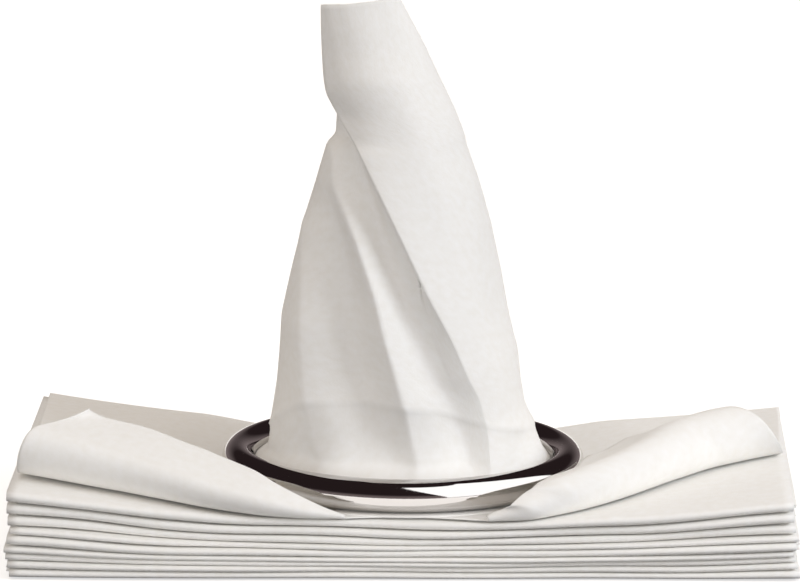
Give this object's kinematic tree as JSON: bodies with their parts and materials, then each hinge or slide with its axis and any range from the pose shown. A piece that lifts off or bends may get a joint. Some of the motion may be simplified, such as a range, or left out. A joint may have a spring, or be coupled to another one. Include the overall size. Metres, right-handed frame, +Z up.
{
  "type": "napkin dispenser",
  "caption": "Open napkin dispenser: a pile of interleaved V-folded paper napkins under a loose polished ring, with the top napkin drawn up through the ring as a cone.",
  "frame": {"origin": "on the table, under the middle of the napkin pile", "axes": "+X to the right along the napkins' folds, +Y from the front of the pile to the back, +Z up"},
  "size_m": [0.2172, 0.108, 0.1527],
  "materials": {
    "chrome": "polished mirror chrome",
    "paper": "soft white airlaid paper, fine fibres"
  },
  "bodies": {
    "pile": {"napkin_02": "paper", "napkin_03": "paper", "napkin_04": "paper", "napkin_05": "paper", "napkin_06": "paper", "napkin_07": "paper", "napkin_08": "paper", "napkin_09": "paper", "napkin_10": "paper", "napkin_11": "paper", "napkin_12": "paper", "napkin_13": "paper", "napkin_14": "paper", "napkin_15": "paper", "napkin_16": "paper", "napkin_17": "paper", "napkin_18": "paper", "napkin_19": "paper", "napkin_20": "paper"},
    "ring": {"weight_ring": "chrome"},
    "drawn_napkin": {"napkin_01": "paper"}
  },
  "joints": [
    {"name": "ring_lift", "type": "slide", "parent": "pile", "child": "ring", "axis": [0, 0, 1], "range_m": [0, 0.16]},
    {"name": "napkin_draw", "type": "slide", "parent": "pile", "child": "drawn_napkin", "axis": [0, 0, 1], "range_m": [0, 0.1]}
  ]
}
